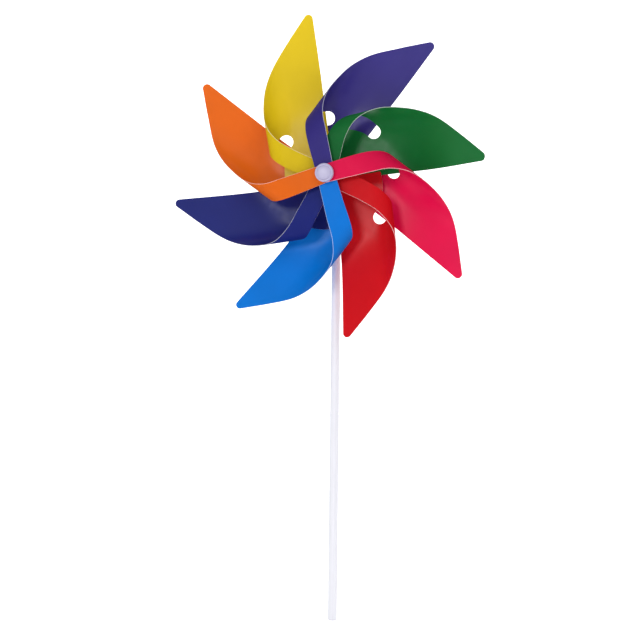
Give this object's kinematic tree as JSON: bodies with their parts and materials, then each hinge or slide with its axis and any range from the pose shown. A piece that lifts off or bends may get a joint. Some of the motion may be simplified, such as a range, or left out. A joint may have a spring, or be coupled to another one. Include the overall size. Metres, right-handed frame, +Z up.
{
  "type": "pinwheel",
  "caption": "Pinwheel with many-coloured curled plastic leaves around a round hub cap, free to spin on a pin through a slim white stick.",
  "frame": {"origin": "middle of the stick's foot, on its flat end", "axes": "+Z up along the stick, -Y out of the front of the wheel, +X to the right seen from the front"},
  "size_m": [0.2315, 0.0627, 0.4577],
  "materials": {
    "stick_plastic": "smooth satin",
    "leaf_red_plastic": "satin sheet",
    "leaf_yellow_plastic": "satin sheet",
    "leaf_navy_plastic": "satin sheet",
    "leaf_green_plastic": "satin sheet",
    "leaf_sky_blue_plastic": "satin sheet",
    "leaf_purple_plastic": "satin sheet",
    "leaf_orange_plastic": "satin sheet",
    "leaf_pink_plastic": "satin sheet",
    "hub_plastic": "moulded",
    "cap_plastic": "satin moulded",
    "pin_steel": "drawn wire"
  },
  "bodies": {
    "stick": {"stick": "stick_plastic"},
    "wheel": {"leaf_red": "leaf_red_plastic", "leaf_yellow": "leaf_yellow_plastic", "leaf_navy": "leaf_navy_plastic", "leaf_green": "leaf_green_plastic", "leaf_sky_blue": "leaf_sky_blue_plastic", "leaf_purple": "leaf_purple_plastic", "leaf_orange": "leaf_orange_plastic", "leaf_pink": "leaf_pink_plastic", "back_nut": "hub_plastic", "back_washer": "hub_plastic", "end_stop": "hub_plastic", "front_washer": "hub_plastic", "hub_sleeve": "hub_plastic", "rear_spacer": "hub_plastic", "tail_collar": "hub_plastic", "hub_cap": "cap_plastic", "axle_pin": "pin_steel"}
  },
  "joints": [
    {"name": "wheel_spin", "type": "hinge", "parent": "stick", "child": "wheel", "pos_m": [0, 0, 0.338], "axis": [0, -1, 0], "continuous": true}
  ]
}
